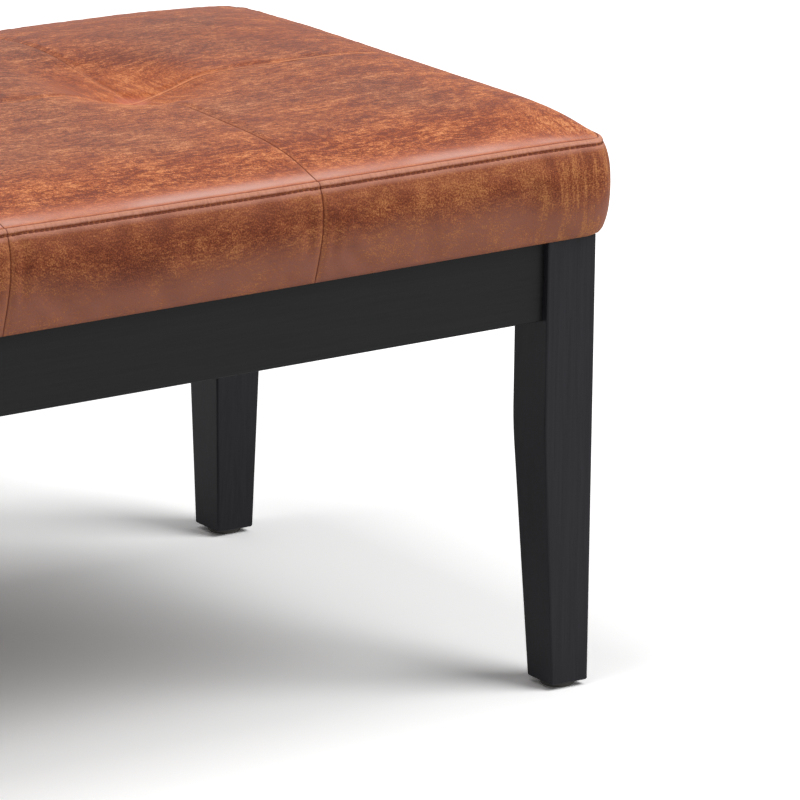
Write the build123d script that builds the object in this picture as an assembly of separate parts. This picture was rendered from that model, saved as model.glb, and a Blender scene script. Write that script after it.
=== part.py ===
from build123d import *
import math
import os

# An upholstered bench: a black wooden leg frame under a tufted leather seat, in millimetres.
# The origin is on the floor under the middle, +X runs along the bench, +Y to its back, +Z up.

# Leg frame, measured over the outer faces of the legs
frame_length = 1274.0
frame_depth = 474.0
frame_height = 341.0

# Legs, tapered on their two inner faces
leg_top_width = 42.0
leg_foot_width = 31.8
leg_straight_length = 145.0
leg_taper_blend_radius = 520.0
leg_edge_radius = 1.6
leg_foot_chamfer = 1.0

# Nail-on glides under the legs
glide_height = 4.0
glide_diameter = 25.0
glide_edge_chamfer = 0.8
nail_head_recess = 0.4
nail_head_diameter = 8.0
nail_head_thickness = 1.2
nail_diameter = 2.6
nail_length = 16.0

# Aprons between the legs
apron_height = 60.5
apron_thickness = 20.0
apron_setback = 5.6
apron_edge_radius = 1.2

# Dowels, two in each joint
dowel_diameter = 8.0
dowel_length = 40.0
dowel_depth_in_rail_seat = 13.0
apron_dowel_edge_distance = 14.0
rail_dowel_spacing = 20.0

# Cross rails that carry the middle of the seat board
cross_rail_spacing = 420.0
cross_rail_width = 42.0
cross_rail_height = 20.0

# Corner blocks and the hanger bolts that pull the legs to them
block_height = 45.0
block_thickness = 22.0
block_leg_gap = 1.0
block_top_drop = 3.0
bolt_diameter = 6.0
bolt_depth_in_leg = 27.0
bolt_end_past_nut = 4.0
bolt_hole_clearance = 0.5
washer_diameter = 18.0
washer_thickness = 1.6
nut_width = 10.0
nut_thickness = 5.0

# Wood screws through the corner blocks, into the aprons and up into the seat board
screw_diameter = 4.2
screw_head_diameter = 8.4
screw_head_height = 3.0
screw_hole_clearance = 0.4
apron_screw_along = 70.0
apron_screw_bite = 13.0
apron_screw_wood = 12.0
seat_screw_side_offset = 17.0
seat_screw_counterbore = 15.0
seat_screw_bite = 9.0

# Seat: board, foam, batting and leather
board_thickness = 12.0
board_side_gap = 0.5
leather_thickness = 1.2
batting_thickness = 6.0
soft_gap = 0.3

# Cushion shape: side band up to the edge seam, then a crowned top in puffed panels
band_height = 73.4
band_bulge = 13.0
band_profile_shares = ((0.08, 0.0), (0.42, 0.16), (0.80, 0.37), (1.0, 0.66), (0.82, 0.84), (0.25, 1.0))
corner_radius = 14.0
crown_rise = 20.6
puff_rise = 5.0
shoulder_shares = ((0.06, 0.34), (0.175, 0.75), (0.35, 0.97), (0.55, 1.0))
panel_pitch = 261.3
depth_seam_count = 4
tuft_depth = 17.0
tuft_reach = 75.0
tuft_shares = ((0.0, -1.0), (0.2, -0.86), (0.48, -0.38), (0.75, -0.03), (1.0, 0.45))

# Turned-in hem of the cover and the dust cloth that closes the underside
hem_width = 52.0
dust_cloth_inset = 45.0
dust_cloth_thickness = 0.6

# Staples
staple_crown_length = 10.0
staple_wire_width = 1.2
staple_wire_thickness = 0.6
staple_leg_length = 8.0
hem_staple_inset = 34.0
dust_staple_edge_distance = 4.0
staple_spacing = 78.0
staple_end_distance = 96.0

# Tuft ties: twine from the cover down through the board to a flat washer
twine_diameter = 2.4
twine_hole_gap = 0.3
board_tuft_hole_diameter = 6.0
tuft_washer_diameter = 18.0

# How far cutting shapes run past what they cut
overrun = 5.0

half_length = frame_length / 2
half_depth = frame_depth / 2
hem_top = frame_height + leather_thickness
board_top = hem_top + board_thickness
seam_height = frame_height + band_height
seam_outset = band_profile_shares[-1][0] * band_bulge
overall_height = seam_height + crown_rise + puff_rise
apron_inner_inset = apron_setback + apron_thickness
dust_cloth_bottom = frame_height - dust_cloth_thickness
rail_top = dust_cloth_bottom - staple_wire_thickness
block_top = frame_height - block_top_drop
block_middle = block_top - block_height / 2
block_back_sum = 2 * leg_top_width + block_leg_gap * math.sqrt(2)
block_front_sum = block_back_sum + block_thickness * math.sqrt(2)
apron_dowel_heights = (
    frame_height - apron_dowel_edge_distance,
    frame_height - apron_height + apron_dowel_edge_distance,
)
seam_places = [(i - (depth_seam_count - 1) / 2) * panel_pitch for i in range(depth_seam_count)]
corners = {
    "front_left": (-1, -1),
    "front_right": (1, -1),
    "back_left": (-1, 1),
    "back_right": (1, 1),
}


def save(shape, name):
    """Write one sub-part to its own file."""
    export_step(shape, f"parts/{name}.step")


def upright_box(low, high):
    """A box between two opposite corners."""
    size = [b - a for a, b in zip(low, high)]
    return Pos(*low) * Box(*size, align=(Align.MIN, Align.MIN, Align.MIN))


def rod(start, direction, length, diameter):
    """A round bar from a start point along a direction."""
    plane = Plane(origin=start, z_dir=direction)
    return plane * Cylinder(diameter / 2, length, align=(Align.CENTER, Align.CENTER, Align.MIN))


def to_corner(shape, x_side, y_side):
    """Turn a shape made at the front left corner into its twin at another corner."""
    if x_side > 0:
        shape = mirror(shape, about=Plane.YZ)
    if y_side > 0:
        shape = mirror(shape, about=Plane.XZ)
    return shape


def corner_point(x_in, y_in, z):
    """A point given by its distances in from the frame's front left corner."""
    return (x_in - half_length, y_in - half_depth, z)


def group(shapes):
    """Separate solids kept together in one sub-part."""
    solids = [solid for shape in shapes for solid in shape.solids()]
    return Compound(children=solids)


def dowel_in_leg(height, along_x):
    """A dowel across the joint of one apron and the front left leg."""
    across = apron_setback + apron_thickness / 2
    start_in = leg_top_width - dowel_length / 2
    if along_x:
        return rod(corner_point(start_in, across, height), (1, 0, 0), dowel_length, dowel_diameter)
    return rod(corner_point(across, start_in, height), (0, 1, 0), dowel_length, dowel_diameter)


def leg_dowels():
    """The four dowels that meet in the front left leg."""
    return [dowel_in_leg(height, along_x) for height in apron_dowel_heights for along_x in (True, False)]


def diagonal_point(distance, height):
    """A point on the diagonal from the front left corner towards the middle."""
    step = distance / math.sqrt(2)
    return corner_point(step, step, height)


def hanger_bolt():
    """The bolt that is screwed into the leg and passes through its corner block."""
    start = leg_top_width * math.sqrt(2) - bolt_depth_in_leg
    end = block_front_sum / math.sqrt(2) + washer_thickness + nut_thickness + bolt_end_past_nut
    return rod(diagonal_point(start, block_middle), (1, 1, 0), end - start, bolt_diameter)


def bolt_washer():
    """The washer between the front left corner block and its nut."""
    start = diagonal_point(block_front_sum / math.sqrt(2), block_middle)
    return rod(start, (1, 1, 0), washer_thickness, washer_diameter) - hanger_bolt()


def bolt_nut():
    """The hexagon nut on the front left hanger bolt."""
    distance = block_front_sum / math.sqrt(2) + washer_thickness
    plane = Plane(origin=diagonal_point(distance, block_middle), x_dir=(0, 0, 1), z_dir=(1, 1, 0))
    hexagon = plane * RegularPolygon(nut_width / 2, 6, major_radius=False)
    return extrude(hexagon, amount=nut_thickness) - hanger_bolt()


def headed_screw(head_seat, direction, length):
    """A wood screw whose head rests at a point and whose shank runs along a direction."""
    shank = rod(head_seat, direction, length, screw_diameter)
    back = tuple(-part for part in direction)
    return shank + rod(head_seat, back, screw_head_height, screw_head_diameter)


def apron_screw(along_x):
    """The screw that holds one end of the front left corner block to its apron."""
    seat_in = apron_inner_inset + apron_screw_wood
    length = apron_screw_wood + apron_screw_bite
    if along_x:
        return headed_screw(corner_point(apron_screw_along, seat_in, block_middle), (0, -1, 0), length)
    return headed_screw(corner_point(seat_in, apron_screw_along, block_middle), (-1, 0, 0), length)


def apron_screw_pocket(along_x):
    """The open pocket behind a block screw's head."""
    seat_in = apron_inner_inset + apron_screw_wood
    depth = block_front_sum
    width = screw_head_diameter + screw_hole_clearance
    if along_x:
        return rod(corner_point(apron_screw_along, seat_in, block_middle), (0, 1, 0), depth, width)
    return rod(corner_point(seat_in, apron_screw_along, block_middle), (1, 0, 0), depth, width)


def seat_screw_place():
    """How far in along X and Y the seat screw stands at the front left corner."""
    middle = (block_back_sum + block_front_sum) / 4
    side = seat_screw_side_offset / math.sqrt(2)
    return middle + side, middle - side


def seat_screw():
    """The screw up through the front left corner block into the seat board."""
    x_in, y_in = seat_screw_place()
    seat = block_top - block_height + seat_screw_counterbore
    return headed_screw(corner_point(x_in, y_in, seat), (0, 0, 1), hem_top + seat_screw_bite - seat)


def seat_screw_hole():
    """The loose hole for the seat screw through corner block and hem."""
    x_in, y_in = seat_screw_place()
    low = block_top - block_height - overrun
    start = corner_point(x_in, y_in, low)
    shank = rod(start, (0, 0, 1), hem_top - low, screw_diameter + screw_hole_clearance)
    pocket_width = screw_head_diameter + screw_hole_clearance
    return shank + rod(start, (0, 0, 1), overrun + seat_screw_counterbore, pocket_width)


def glide_nail():
    """The nail that holds the glide to the front left leg."""
    middle = leg_foot_width / 2
    head_start = corner_point(middle, middle, nail_head_recess)
    head = rod(head_start, (0, 0, 1), nail_head_thickness, nail_head_diameter)
    shank_start = corner_point(middle, middle, nail_head_recess + nail_head_thickness)
    return head + rod(shank_start, (0, 0, 1), nail_length, nail_diameter)


def glide():
    """The round plastic glide under the front left leg."""
    middle = leg_foot_width / 2
    disc = rod(corner_point(middle, middle, 0), (0, 0, 1), glide_height, glide_diameter)
    disc = chamfer(disc.edges().group_by(Axis.Z)[0], glide_edge_chamfer)
    low = corner_point(middle, middle, -overrun)
    recess = rod(low, (0, 0, 1), overrun + nail_head_recess, nail_head_diameter)
    return disc - recess - glide_nail()


def leg():
    """The front left leg, straight outside and tapered inside."""
    taper_height = frame_height - leg_straight_length
    outline = Polyline(
        (0, glide_height),
        (0, frame_height),
        (leg_top_width, frame_height),
        (leg_top_width, taper_height),
        (leg_foot_width, glide_height),
        close=True,
    )
    profile = make_face(outline)
    knee = profile.vertices().sort_by_distance((leg_top_width, taper_height))[0]
    profile = fillet(knee, leg_taper_blend_radius)
    along_depth = extrude(Plane.XZ * profile, amount=-leg_top_width)
    along_length = mirror(along_depth, about=Plane(origin=(0, 0, 0), z_dir=(1, -1, 0)))
    body = along_depth & along_length
    long_edges = body.edges().filter_by(lambda edge: edge.bounding_box().size.Z > leg_top_width)
    body = fillet(long_edges, leg_edge_radius)
    body = chamfer(body.edges().group_by(Axis.Z)[0], leg_foot_chamfer)
    body = Pos(*corner_point(0, 0, 0)) * body
    for tool in leg_dowels() + [hanger_bolt(), glide_nail()]:
        body -= tool
    return body


def corner_block():
    """The front left corner block, mitred to lie on both aprons."""
    inner = apron_inner_inset
    outline = Polyline(
        corner_point(block_back_sum - inner, inner, 0),
        corner_point(block_front_sum - inner, inner, 0),
        corner_point(inner, block_front_sum - inner, 0),
        corner_point(inner, block_back_sum - inner, 0),
        close=True,
    )
    plan = Pos(0, 0, block_top - block_height) * make_face(outline)
    body = extrude(plan, amount=block_height, dir=(0, 0, 1))
    reach = block_front_sum + overrun
    hole = rod(diagonal_point(0, block_middle), (1, 1, 0), reach, bolt_diameter + 2 * bolt_hole_clearance)
    body -= hole
    for along_x in (True, False):
        body = body - apron_screw(along_x) - apron_screw_pocket(along_x)
    return body - seat_screw_hole()


def apron_bar(length, inset_to_face):
    """An apron along X, its outer face turned to the front, with rounded lower edges."""
    low = (-length / 2, inset_to_face, frame_height - apron_height)
    high = (length / 2, inset_to_face + apron_thickness, frame_height)
    bar = upright_box(low, high)
    lower_edges = bar.edges().filter_by(Axis.X).group_by(Axis.Z)[0]
    return fillet(lower_edges, apron_edge_radius)


def rail_dowels():
    """The dowels at the front end of both cross rails."""
    start_in = apron_inner_inset - dowel_depth_in_rail_seat
    height = rail_top - cross_rail_height / 2
    places = [
        side * cross_rail_spacing / 2 + step * rail_dowel_spacing / 2 for side in (-1, 1) for step in (-1, 1)
    ]
    return [rod((x, start_in - half_depth, height), (0, 1, 0), dowel_length, dowel_diameter) for x in places]


def long_apron():
    """The front apron."""
    bar = apron_bar(frame_length - 2 * leg_top_width, apron_setback - half_depth)
    end_tools = [dowel_in_leg(height, True) for height in apron_dowel_heights] + [apron_screw(True)]
    for tool in end_tools:
        bar = bar - tool - mirror(tool, about=Plane.YZ)
    for tool in rail_dowels():
        bar -= tool
    return bar


def short_apron():
    """The left end apron."""
    bar = apron_bar(frame_depth - 2 * leg_top_width, apron_setback - half_length)
    bar = Rot(0, 0, -90) * bar
    end_tools = [dowel_in_leg(height, False) for height in apron_dowel_heights] + [apron_screw(False)]
    for tool in end_tools:
        bar = bar - tool - mirror(tool, about=Plane.XZ)
    return bar


def cross_rail():
    """The left cross rail, from the front apron to the back one."""
    middle = -cross_rail_spacing / 2
    reach = half_depth - apron_inner_inset
    low = (middle - cross_rail_width / 2, -reach, rail_top - cross_rail_height)
    high = (middle + cross_rail_width / 2, reach, rail_top)
    bar = upright_box(low, high)
    for tool in rail_dowels():
        bar = bar - tool - mirror(tool, about=Plane.XZ)
    return bar


def cushion_side(half_width, inset):
    """Points up the side of the cushion, as distance from its middle and height."""
    return [
        (half_width + out * band_bulge - inset, frame_height + up * band_height)
        for out, up in band_profile_shares
    ]


def cushion_section(half_width, inset):
    """The cushion cut across, with both bulging sides."""
    side = cushion_side(half_width, inset)
    foot, shoulder = side[0], side[-1]
    top = overall_height + overrun
    sides = [Spline(*side), Spline(*[(-u, z) for u, z in side])]
    lid = Polyline(shoulder, (shoulder[0], top), (-shoulder[0], top), (-shoulder[0], shoulder[1]))
    base = Line((-foot[0], foot[1]), foot)
    return make_face([*sides, lid, base])


def cushion_corner(inset):
    """One rounded vertical corner of the cushion, as a barrel about the Z axis."""
    side = cushion_side(corner_radius - seam_outset, inset)
    foot, shoulder = side[0], side[-1]
    top = overall_height + overrun
    rest = Polyline(shoulder, (shoulder[0], top), (0, top), (0, foot[1]), foot)
    return revolve(Plane.XZ * make_face([Spline(*side), rest]), axis=Axis.Z)


def cushion_core(inset):
    """The cushion's outer form, drawn in all round by an inset, still flat on top."""
    axis_x = half_length + seam_outset - corner_radius
    axis_y = half_depth + seam_outset - corner_radius
    core = extrude(Plane.YZ * cushion_section(half_depth, inset), amount=axis_x, both=True)
    core += extrude(Plane.XZ * cushion_section(half_length, inset), amount=axis_y, both=True)
    barrel = cushion_corner(inset)
    for x_side, y_side in corners.values():
        core += Pos(x_side * axis_x, y_side * axis_y, 0) * barrel
    return core


def between(low, high):
    """A slab over the whole bench between two heights."""
    reach_x = half_length + band_bulge + overrun
    reach_y = half_depth + band_bulge + overrun
    return upright_box((-reach_x, -reach_y, low), (reach_x, reach_y, high))


def shoulder(edge, seam, puff):
    """The crown's curve from the edge seam in to the first seam, as place and height."""
    width = edge - seam
    rise = crown_rise + puff
    points = [(edge, seam_height)]
    points += [(edge - across * width, seam_height + up * rise) for across, up in shoulder_shares]
    return points + [(seam, seam_height + crown_rise)]


def crown_section(edge, seams, puff):
    """The crown cut across all its seams, a puff high between each two of them."""
    rim = seam_height + crown_rise
    outer = shoulder(edge, seams[-1], puff)
    curves = [Spline(*outer), Spline(*[(-u, z) for u, z in outer])]
    for low, high in zip(seams, seams[1:]):
        start, middle, end = (low, rim), ((low + high) / 2, rim + puff), (high, rim)
        curves.append(ThreePointArc(start, middle, end) if puff else Line(start, end))
    foot = frame_height - overrun
    reach = edge + overrun
    side = [(edge, seam_height), (reach, seam_height - overrun), (reach, foot)]
    curves.append(Polyline(*side, *[(-u, z) for u, z in reversed(side)]))
    return make_face(curves)


def tuft_pit():
    """The hollow that one tuft pulls into the crown, as a cutting shape at the origin."""
    rim = seam_height + crown_rise
    curve = [(out * tuft_reach, rim + up * tuft_depth) for out, up in tuft_shares]
    top = overall_height + tuft_depth
    rest = Polyline(curve[-1], (tuft_reach, top), (0, top), curve[0])
    return revolve(Plane.XZ * make_face([Spline(*curve), rest]), axis=Axis.Z)


def crowned_form(puff):
    """Everything under the cover's outer face, wider than the cushion."""
    edge_x = half_length + seam_outset
    edge_y = half_depth + seam_outset
    across = extrude(Plane.XZ * crown_section(edge_x, seam_places, puff), amount=edge_y + overrun, both=True)
    along = extrude(Plane.YZ * crown_section(edge_y, [0], puff), amount=edge_x + overrun, both=True)
    form = across & along
    pit = tuft_pit()
    for x in seam_places:
        form -= Pos(x, 0, 0) * pit
    return form


def lowered(form, drop):
    """A copy of a form, moved down."""
    return Pos(0, 0, -drop) * form


def diagonal_x(y):
    """Where the front right corner's mitre line stands at a distance towards the front."""
    axis_x = half_length + seam_outset - corner_radius
    axis_y = half_depth + seam_outset - corner_radius
    return axis_x + y - axis_y


def plan_prism(points, x_side, y_side):
    """A tall prism over an outline drawn in the front right quarter."""
    outline = Polyline(*[(x * x_side, -y * y_side, 0) for x, y in points], close=True)
    plan = Pos(0, 0, frame_height - overrun) * make_face(outline)
    return extrude(plan, amount=overall_height - frame_height + 2 * overrun, dir=(0, 0, 1))


def long_band_prism(column, y_side):
    """What one front or back band panel takes of the cover's side."""
    far = half_depth + band_bulge + overrun
    near = half_depth - hem_width - overrun
    if 0 < column < depth_seam_count:
        low, high = seam_places[column - 1], seam_places[column]
        return plan_prism([(low, near), (high, near), (high, far), (low, far)], 1, y_side)
    x_side = -1 if column == 0 else 1
    seam = seam_places[-1]
    outline = [(seam, near), (diagonal_x(near), near), (diagonal_x(far), far), (seam, far)]
    return plan_prism(outline, x_side, y_side)


def end_band_prism(x_side, y_side):
    """What one end band panel takes of the cover's side."""
    far = half_depth + band_bulge + overrun
    near = half_depth - hem_width - overrun
    outline = [(diagonal_x(near), 0), (diagonal_x(near), near), (diagonal_x(far), far), (diagonal_x(far), 0)]
    return plan_prism(outline, x_side, y_side)


def staple(x, y, along_x, crown_top):
    """A staple driven upwards, its crown lying against what is above it."""
    half_crown = staple_crown_length / 2
    half_wire = staple_wire_width / 2
    low = crown_top - staple_wire_thickness
    top = low + staple_leg_length
    shape = upright_box((-half_crown, -half_wire, low), (half_crown, half_wire, crown_top))
    for side in (-1, 1):
        outer = side * half_crown
        inner = side * (half_crown - staple_wire_thickness)
        leg_low = (min(outer, inner), -half_wire, crown_top)
        shape += upright_box(leg_low, (max(outer, inner), half_wire, top))
    if not along_x:
        shape = Rot(0, 0, 90) * shape
    return Pos(x, y, 0) * shape


def staple_row(inset, crown_top):
    """Staples all round, a given distance in from the frame's outer faces."""
    staples = []
    for length, offset, along_x in (
        (frame_length, half_depth - inset, True),
        (frame_depth, half_length - inset, False),
    ):
        run = length - 2 * staple_end_distance
        count = round(run / staple_spacing) + 1
        for i in range(count):
            place = -run / 2 + i * run / (count - 1)
            for side in (-1, 1):
                x, y = (place, side * offset) if along_x else (side * offset, place)
                staples.append(staple(x, y, along_x, crown_top))
    return staples


def tuft_tie(x):
    """The twine of one tuft, from its washer up to the underside of the cover."""
    top = seam_height + crown_rise - tuft_depth - leather_thickness - soft_gap
    return rod((x, 0, frame_height), (0, 0, 1), top - frame_height, twine_diameter)


def tuft_washer(x):
    """The flat washer that the twine is tied to, between board and dust cloth."""
    return rod((x, 0, frame_height), (0, 0, 1), leather_thickness, tuft_washer_diameter) - tuft_tie(x)


def save_frame():
    """Legs, aprons, blocks, rails and what joins them."""
    parts = {"leg": leg(), "corner_block": corner_block(), "glide": glide()}
    for corner, (x_side, y_side) in corners.items():
        for name, shape in parts.items():
            save(to_corner(shape, x_side, y_side), f"{name}_{corner}")
    front, left, rail = long_apron(), short_apron(), cross_rail()
    save(front, "apron_front")
    save(mirror(front, about=Plane.XZ), "apron_back")
    save(left, "apron_left")
    save(mirror(left, about=Plane.YZ), "apron_right")
    save(rail, "cross_rail_left")
    save(mirror(rail, about=Plane.YZ), "cross_rail_right")


def at_all_corners(shapes):
    """Shapes made at the front left corner, repeated at all four."""
    return [to_corner(shape, *sides) for sides in corners.values() for shape in shapes]


def save_fasteners():
    """Dowels, bolts, screws and nails, each kind in one group."""
    back_dowels = [mirror(dowel, about=Plane.XZ) for dowel in rail_dowels()]
    save(group(at_all_corners(leg_dowels()) + rail_dowels() + back_dowels), "dowels")
    save(group(at_all_corners([hanger_bolt()])), "hanger_bolts")
    save(group(at_all_corners([bolt_washer()])), "bolt_washers")
    save(group(at_all_corners([bolt_nut()])), "bolt_nuts")
    save(group(at_all_corners([apron_screw(True), apron_screw(False)])), "corner_block_screws")
    save(group(at_all_corners([seat_screw()])), "seat_screws")
    save(group(at_all_corners([glide_nail()])), "glide_nails")


def seat_board(staples):
    """The plywood board, with its tuft holes and the places of screws and staples."""
    width = frame_length - 2 * board_side_gap
    depth = frame_depth - 2 * board_side_gap
    plan = RectangleRounded(width, depth, corner_radius - seam_outset - board_side_gap)
    board = extrude(Pos(0, 0, hem_top) * plan, amount=board_thickness)
    for x in seam_places:
        board -= rod((x, 0, frame_height), (0, 0, 1), board_top, board_tuft_hole_diameter)
    return board - at_all_corners([seat_screw()]) - staples


def dust_cloth(staples):
    """The thin cloth stapled under the board inside the frame."""
    reach_x = half_length - dust_cloth_inset
    reach_y = half_depth - dust_cloth_inset
    cloth = upright_box((-reach_x, -reach_y, dust_cloth_bottom), (reach_x, reach_y, frame_height))
    return cloth - staples


def save_seat():
    """Board, foam, batting, leather panels, dust cloth, staples and tuft ties."""
    hem_staples = staple_row(hem_staple_inset, frame_height)
    dust_staples = staple_row(dust_cloth_inset + dust_staple_edge_distance, dust_cloth_bottom)
    save(group(hem_staples), "hem_staples")
    save(group(dust_staples), "dust_cloth_staples")
    save(seat_board(hem_staples + dust_staples), "seat_board")
    save(dust_cloth(dust_staples), "dust_cloth")
    save(group([tuft_tie(x) for x in seam_places]), "tuft_ties")
    save(group([tuft_washer(x) for x in seam_places]), "tuft_washers")

    cover_form = crowned_form(puff_rise)
    foam_form = crowned_form(0)
    tie_width = twine_diameter + 2 * twine_hole_gap
    tie_holes = [rod((x, 0, board_top), (0, 0, 1), overall_height, tie_width) for x in seam_places]
    cover_drop = leather_thickness + soft_gap
    foam_drop = cover_drop + batting_thickness
    stuffing = between(board_top, overall_height)

    cavity = lowered(foam_form, foam_drop) & cushion_core(foam_drop)
    foam = lowered(foam_form, foam_drop + soft_gap) & cushion_core(foam_drop + soft_gap)
    save((foam & stuffing) - tie_holes, "foam_pad")
    batting = lowered(cover_form, cover_drop) & cushion_core(cover_drop)
    save((batting & stuffing) - cavity - tie_holes, "batting")

    outer = cushion_core(0)
    edge_top = seam_height - leather_thickness
    top_sheet = (cover_form - lowered(cover_form, leather_thickness)) & outer
    top_sheet &= between(edge_top, overall_height + overrun)
    side_skirt = outer & between(frame_height, edge_top)
    side_skirt -= cushion_core(leather_thickness) & between(hem_top, overall_height)
    reach_x, reach_y = half_length - hem_width, half_depth - hem_width
    side_skirt -= upright_box((-reach_x, -reach_y, frame_height - overrun), (reach_x, reach_y, edge_top))
    side_skirt = side_skirt - at_all_corners([seat_screw_hole()]) - hem_staples - dust_staples

    far_x = half_length + band_bulge + overrun
    far_y = half_depth + band_bulge + overrun
    lines = [-far_x, *seam_places, far_x]
    for column, (low_x, high_x) in enumerate(zip(lines, lines[1:])):
        for row, low_y, high_y, y_side in (("front", -far_y, 0, 1), ("back", 0, far_y, -1)):
            panel = upright_box((low_x, low_y, frame_height), (high_x, high_y, overall_height + overrun))
            save(top_sheet & panel, f"top_panel_{row}_{column + 1}")
            save(side_skirt & long_band_prism(column, y_side), f"band_{row}_{column + 1}")
    for end, x_side in (("left", -1), ("right", 1)):
        for row, y_side in (("front", 1), ("back", -1)):
            save(side_skirt & end_band_prism(x_side, y_side), f"band_{end}_{row}")


os.makedirs("parts", exist_ok=True)
save_frame()
save_fasteners()
save_seat()
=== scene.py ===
import math

import bpy
import numpy as np
from mathutils import Matrix, Vector, noise


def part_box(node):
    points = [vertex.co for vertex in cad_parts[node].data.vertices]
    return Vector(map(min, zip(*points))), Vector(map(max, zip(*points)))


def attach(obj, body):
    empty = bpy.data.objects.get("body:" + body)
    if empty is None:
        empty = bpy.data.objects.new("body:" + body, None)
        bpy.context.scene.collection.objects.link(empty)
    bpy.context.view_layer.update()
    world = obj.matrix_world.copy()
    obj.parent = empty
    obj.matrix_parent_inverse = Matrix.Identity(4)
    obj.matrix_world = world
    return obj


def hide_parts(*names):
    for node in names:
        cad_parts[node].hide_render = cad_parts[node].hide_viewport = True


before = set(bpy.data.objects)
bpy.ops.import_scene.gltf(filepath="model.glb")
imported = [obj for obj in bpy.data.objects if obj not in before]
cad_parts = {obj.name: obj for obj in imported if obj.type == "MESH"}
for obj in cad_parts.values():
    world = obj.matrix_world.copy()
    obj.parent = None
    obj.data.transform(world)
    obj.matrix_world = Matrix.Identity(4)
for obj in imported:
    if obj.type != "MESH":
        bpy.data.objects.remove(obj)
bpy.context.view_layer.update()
mm = 0.001


# Legs and aprons.
# Four solid legs, square and straight outside and tapered on both inner faces, and four aprons let in
# behind their faces. All are sprayed with a black satin lacquer, thin enough for the open grain to show.
def shade(tree, kind, inputs=None, **settings):
    """A shader node with its settings, and with its inputs, each a value or another node's output."""
    node = tree.nodes.new("ShaderNode" + kind)
    for name, value in settings.items():
        setattr(node, name, value)
    for name, value in (inputs or {}).items():
        if isinstance(value, bpy.types.NodeSocket):
            tree.links.new(value, node.inputs[name])
        else:
            node.inputs[name].default_value = value
    return node


def figure(operation, *values):
    """The output of one sum, in the tree that its values are in."""
    tree = next(value.id_data for value in values if isinstance(value, bpy.types.NodeSocket))
    return shade(tree, "Math", dict(enumerate(values)), operation=operation).outputs[0]


def product(first, *others):
    """Values multiplied together."""
    for other in others:
        first = figure("MULTIPLY", first, other)
    return first


def plus(base, value, share=1.0):
    """base with a share of another value added to it."""
    return figure("MULTIPLY_ADD", value, share, base)


def stretch(value, low, high, start=0.0, end=1.0):
    """value moved smoothly from the range low to high into start to end."""
    ranges = {"Value": value, "From Min": low, "From Max": high, "To Min": start, "To Max": end}
    return shade(value.id_data, "MapRange", ranges, interpolation_type="SMOOTHSTEP").outputs[0]


def blended(share, first, second, mode="MIX"):
    """Two colours mixed by share."""
    inputs = {0: share, 6: first, 7: second}
    return shade(share.id_data, "Mix", inputs, data_type="RGBA", blend_type=mode).outputs[2]


def colour(red, green, blue):
    """A colour as a picture shows it, from 0 to 255, as the shader's linear one."""
    return [((value / 255 + 0.055) / 1.055) ** 2.4 for value in (red, green, blue)] + [1.0]


def darker(tone, share):
    """That share of a colour's light."""
    return [value * share for value in tone[:3]] + [1.0]


def clouds(vector, scale, detail=3.0, roughness=0.5, distortion=0.0):
    """A noise over the surface, as one value."""
    inputs = {"Vector": vector, "Scale": scale, "Detail": detail}
    inputs |= {"Roughness": roughness, "Distortion": distortion}
    return shade(vector.id_data, "TexNoise", inputs).outputs["Fac"]


def scaled(vector, across, along, depth):
    """A vector with each axis multiplied."""
    inputs = {0: vector, 1: (across, along, depth)}
    return shade(vector.id_data, "VectorMath", inputs, operation="MULTIPLY").outputs[0]


def on_object(tree):
    """The place on the bench, in metres."""
    return shade(tree, "TexCoord").outputs["Object"]


def effect(name, inputs, outputs):
    """An empty shader node group with named sockets, and its two end nodes."""
    group = bpy.data.node_groups.new(name, "ShaderNodeTree")
    for way, sockets in (("INPUT", inputs), ("OUTPUT", outputs)):
        for socket, kind in sockets:
            group.interface.new_socket(socket, in_out=way, socket_type="NodeSocket" + kind)
    return group, group.nodes.new("NodeGroupInput"), group.nodes.new("NodeGroupOutput")


def new_material(name, **constants):
    """A material, with constants on its shader, and its node tree."""
    material = bpy.data.materials.new(name)
    material.use_nodes = True
    for socket, value in constants.items():
        material.node_tree.nodes["Principled BSDF"].inputs[socket.replace("_", " ")].default_value = value
    return material, material.node_tree


def surfaced(material, body, roughness, height, distance):
    """The material with its colour and roughness, and with height as a bump of that distance."""
    tree = material.node_tree
    bump = shade(tree, "Bump", {"Height": height, "Strength": 1.0, "Distance": distance}).outputs[0]
    for socket, value in (("Base Color", body), ("Roughness", roughness), ("Normal", bump)):
        tree.links.new(value, tree.nodes["Principled BSDF"].inputs[socket])
    return material


def dress(material, *nodes):
    """Every slot of these CAD nodes takes the material."""
    for name in nodes:
        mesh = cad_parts[name].data
        mesh.materials.clear()
        mesh.materials.append(material)


def straight_grain():
    """Long fine fibres along the vector's Z: their tone, and the open pores between them."""
    sockets = [("Vector", "Vector"), ("Fineness", "Float")], [("Tone", "Float"), ("Pores", "Float")]
    group, start, end = effect("straight_grain", *sockets)
    fine = shade(group, "VectorMath", {0: start.outputs["Vector"]}, operation="SCALE")
    group.links.new(start.outputs["Fineness"], fine.inputs["Scale"])
    long = scaled(fine.outputs[0], 1.0, 1.0, 0.03)
    tone = clouds(long, 1.0, 5.0, 0.6, 0.6)
    pores = clouds(scaled(long, 3.1, 3.1, 1.4), 1.0, 3.0, 0.7)
    group.links.new(stretch(tone, 0.3, 0.7), end.inputs["Tone"])
    group.links.new(stretch(pores, 0.56, 0.72), end.inputs["Pores"])
    return group


wood_grain = straight_grain()
turn_to_grain = {"x": (0, math.pi / 2, 0), "y": (math.pi / 2, 0, 0), "z": (0, 0, 0)}


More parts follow.
